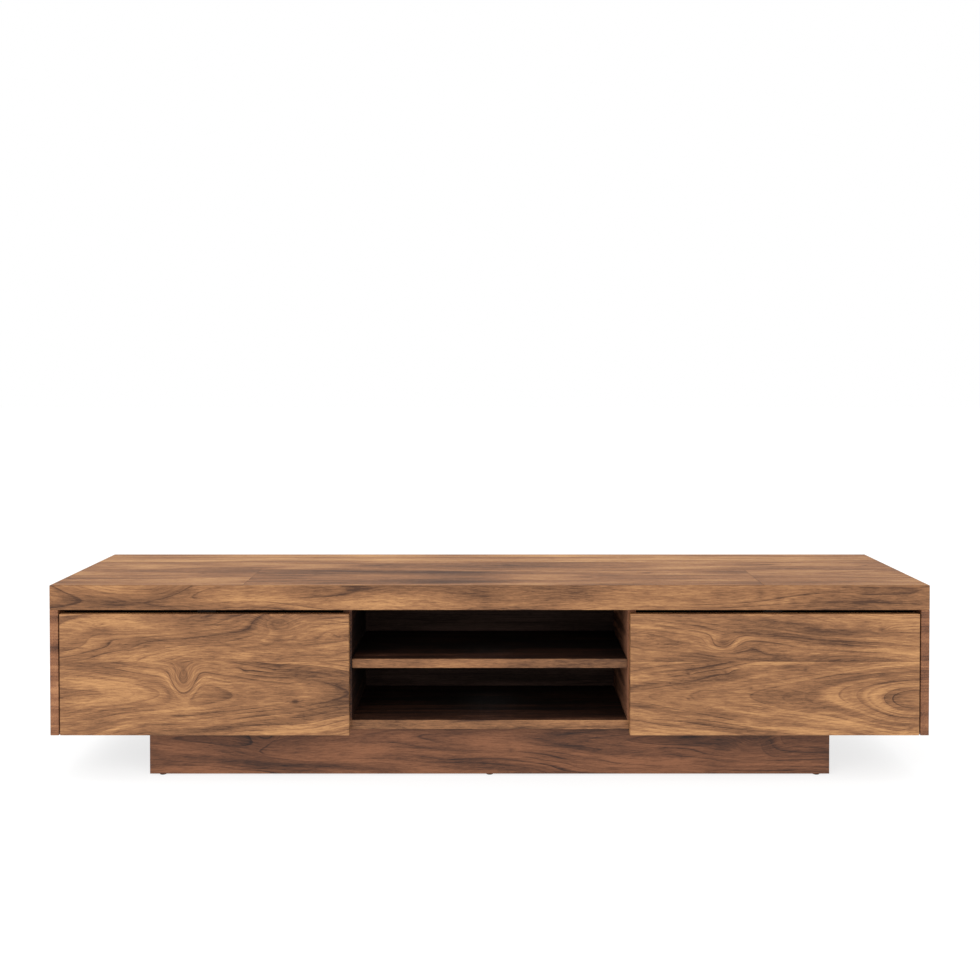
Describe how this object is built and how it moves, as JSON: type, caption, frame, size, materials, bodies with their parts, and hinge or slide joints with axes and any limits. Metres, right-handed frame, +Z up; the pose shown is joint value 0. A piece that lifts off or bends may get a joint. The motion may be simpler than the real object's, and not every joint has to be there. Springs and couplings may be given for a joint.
{
  "type": "tv stand with doors",
  "caption": "Long low walnut television bench with a thick lipped top, an open shelved bay in the middle, wide drop-flap doors at the sides and a recessed plinth.",
  "frame": {"origin": "on the floor under the middle of the bench", "axes": "+X along the bench's length to its right end as seen from the front, -Y towards the viewer and out of the flaps, +Z up"},
  "size_m": [2.1, 0.45, 0.47],
  "materials": {
    "walnut_oiled": "oiled walnut, satin",
    "walnut_smoked": "smoked walnut, matt, nearly black",
    "walnut_dark": "oiled walnut, darker and redder, satin",
    "back_board": "walnut-faced board, smoked nearly black, matt",
    "core_timber": "plain softwood, unfinished",
    "steel": "zinc-plated, satin",
    "bronzed_brass": "bronzed, satin",
    "black_plastic": "moulded, matt"
  },
  "bodies": {
    "cabinet": {"top_board": "walnut_oiled", "top_front_lipping": "walnut_oiled", "top_left_lipping": "walnut_oiled", "top_right_lipping": "walnut_oiled", "top_back_rail": "walnut_oiled", "left_side": "walnut_oiled", "right_side": "walnut_oiled", "bottom_panel": "walnut_smoked", "shelf": "walnut_smoked", "left_divider": "walnut_smoked", "right_divider": "walnut_smoked", "top_underskin": "walnut_smoked", "plinth_front": "walnut_dark", "plinth_back": "walnut_dark", "plinth_left": "walnut_dark", "plinth_right": "walnut_dark", "left_back": "back_board", "right_back": "back_board", "centre_back": "back_board", "plinth_cross_rail": "core_timber", "top_rib_outer_left": "core_timber", "top_rib_outer_right": "core_timber", "top_rib_inner_left": "core_timber", "top_rib_inner_right": "core_timber", "shelf_pin_front_left": "steel", "shelf_pin_front_right": "steel", "shelf_pin_rear_left": "steel", "shelf_pin_rear_right": "steel", "left_hinge_pin": "steel", "left_stay_stud": "steel", "right_hinge_pin": "steel", "right_stay_stud": "steel", "left_hinge_fixed_leaf": "bronzed_brass", "right_hinge_fixed_leaf": "bronzed_brass", "glide_front_left": "black_plastic", "glide_front_middle": "black_plastic", "glide_front_right": "black_plastic", "glide_rear_left": "black_plastic", "glide_rear_middle": "black_plastic", "glide_rear_right": "black_plastic", "left_catch": "black_plastic", "left_cable_grommet": "black_plastic", "right_catch": "black_plastic", "right_cable_grommet": "black_plastic"},
    "left_door": {"left_flap": "walnut_oiled", "left_hinge_moving_leaf": "bronzed_brass", "left_stay_bracket": "steel", "left_stay_rivet": "steel", "left_strike_plate": "steel"},
    "right_door": {"right_flap": "walnut_oiled", "right_hinge_moving_leaf": "bronzed_brass", "right_stay_bracket": "steel", "right_stay_rivet": "steel", "right_strike_plate": "steel"},
    "left_stay": {"left_stay_arm": "steel"},
    "right_stay": {"right_stay_arm": "steel"}
  },
  "joints": [
    {"name": "left_door_hinge", "type": "hinge", "parent": "cabinet", "child": "left_door", "pos_m": [-0.6815, -0.2022, 0.1152], "axis": [1, 0, 0], "range_deg": [0, 90]},
    {"name": "right_door_hinge", "type": "hinge", "parent": "cabinet", "child": "right_door", "pos_m": [0.6815, -0.2022, 0.1152], "axis": [1, 0, 0], "range_deg": [0, 90]},
    {"name": "left_stay_pivot", "type": "hinge", "parent": "left_door", "child": "left_stay", "pos_m": [-1.018, -0.1902, 0.2652], "axis": [1, 0, 0], "range_deg": [-45, 0]},
    {"name": "right_stay_pivot", "type": "hinge", "parent": "right_door", "child": "right_stay", "pos_m": [1.018, -0.1902, 0.2652], "axis": [1, 0, 0], "range_deg": [-45, 0]}
  ],
  "couplings": [
    {"joint": "left_stay_pivot", "follows": "left_door_hinge", "ratio": -0.4916},
    {"joint": "right_stay_pivot", "follows": "right_door_hinge", "ratio": -0.4916}
  ]
}
